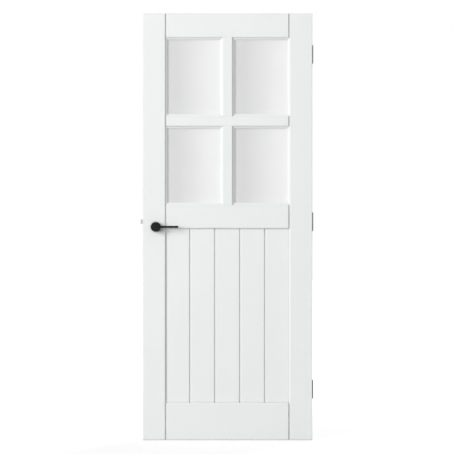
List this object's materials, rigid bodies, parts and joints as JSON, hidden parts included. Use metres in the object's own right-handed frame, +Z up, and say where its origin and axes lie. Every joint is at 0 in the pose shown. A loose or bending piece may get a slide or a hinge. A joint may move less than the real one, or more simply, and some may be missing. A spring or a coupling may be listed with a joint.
{
  "type": "glazed interior door",
  "caption": "White lacquered interior door leaf with satin glass panes over a V-jointed board panel, a black lever on a round rose, a mortice latch and butt hinges.",
  "frame": {"origin": "middle of the leaf's bottom edge, at half its thickness", "axes": "+X to the hinge side, +Y out of the back face, the way the leaf opens, +Z up"},
  "size_m": [0.8584, 0.14, 2.115],
  "materials": {
    "lacquered_wood": "white satin lacquer, sprayed",
    "beech": "bare planed beech",
    "satin_glass": "acid-etched satin glass",
    "glazing_tape": "soft foam tape",
    "setting_rubber": "hard rubber",
    "black_powder_coat": "matt black powder coat",
    "nylon": "moulded nylon",
    "plated_steel": "zinc-plated pressed steel",
    "satin_steel": "satin nickel-plated steel"
  },
  "bodies": {
    "hinge_frame_side": {"top_hinge_frame_leaf": "satin_steel", "middle_hinge_frame_leaf": "satin_steel", "bottom_hinge_frame_leaf": "satin_steel", "top_hinge_pin": "satin_steel", "middle_hinge_pin": "satin_steel", "bottom_hinge_pin": "satin_steel", "hinge_washers": "nylon"},
    "leaf": {"lock_stile": "lacquered_wood", "hinge_stile": "lacquered_wood", "top_rail": "lacquered_wood", "lock_rail": "lacquered_wood", "bottom_rail": "lacquered_wood", "glazing_bar_across": "lacquered_wood", "upper_glazing_bar": "lacquered_wood", "lower_glazing_bar": "lacquered_wood", "frame_dowels": "beech", "pane_upper_left": "satin_glass", "pane_upper_right": "satin_glass", "pane_lower_left": "satin_glass", "pane_lower_right": "satin_glass", "front_beads_upper_left": "lacquered_wood", "front_beads_upper_right": "lacquered_wood", "front_beads_lower_left": "lacquered_wood", "front_beads_lower_right": "lacquered_wood", "back_beads_upper_left": "lacquered_wood", "back_beads_upper_right": "lacquered_wood", "back_beads_lower_left": "lacquered_wood", "back_beads_lower_right": "lacquered_wood", "glazing_tapes": "glazing_tape", "setting_blocks": "setting_rubber", "board_1": "lacquered_wood", "board_2": "lacquered_wood", "board_3": "lacquered_wood", "board_4": "lacquered_wood", "board_5": "lacquered_wood", "latch_case": "plated_steel", "latch_cover": "plated_steel", "forend": "satin_steel", "latch_spring": "satin_steel", "latch_case_screws": "satin_steel", "forend_screws": "satin_steel", "front_rose": "black_powder_coat", "front_rose_plate": "nylon", "front_bush": "nylon", "back_rose": "black_powder_coat", "back_rose_plate": "nylon", "back_bush": "nylon", "rose_screws": "satin_steel", "top_hinge_stile_leaf": "satin_steel", "middle_hinge_stile_leaf": "satin_steel", "bottom_hinge_stile_leaf": "satin_steel", "hinge_screws": "satin_steel"},
    "handle": {"front_lever": "black_powder_coat", "back_lever": "black_powder_coat", "front_grub_screw": "satin_steel", "back_grub_screw": "satin_steel", "spindle": "satin_steel", "follower": "plated_steel"},
    "latch": {"latch_bolt": "satin_steel"}
  },
  "joints": [
    {"name": "door_swing", "type": "hinge", "parent": "hinge_frame_side", "child": "leaf", "pos_m": [0.4215, 0.027, 0], "axis": [0, 0, -1], "range_deg": [0, 170]},
    {"name": "lever_turn", "type": "hinge", "parent": "leaf", "child": "handle", "pos_m": [-0.355, 0, 1.057], "axis": [0, 1, 0], "range_deg": [0, 40]},
    {"name": "latch_slide", "type": "slide", "parent": "leaf", "child": "latch", "axis": [1, 0, 0], "range_m": [0, 0.011], "stiffness_N_per_m": 1500, "springref_m": -0.01, "deforming": ["latch_spring"]}
  ],
  "couplings": [
    {"joint": "latch_slide", "follows": "lever_turn", "m_per_rad": 0.015652}
  ]
}
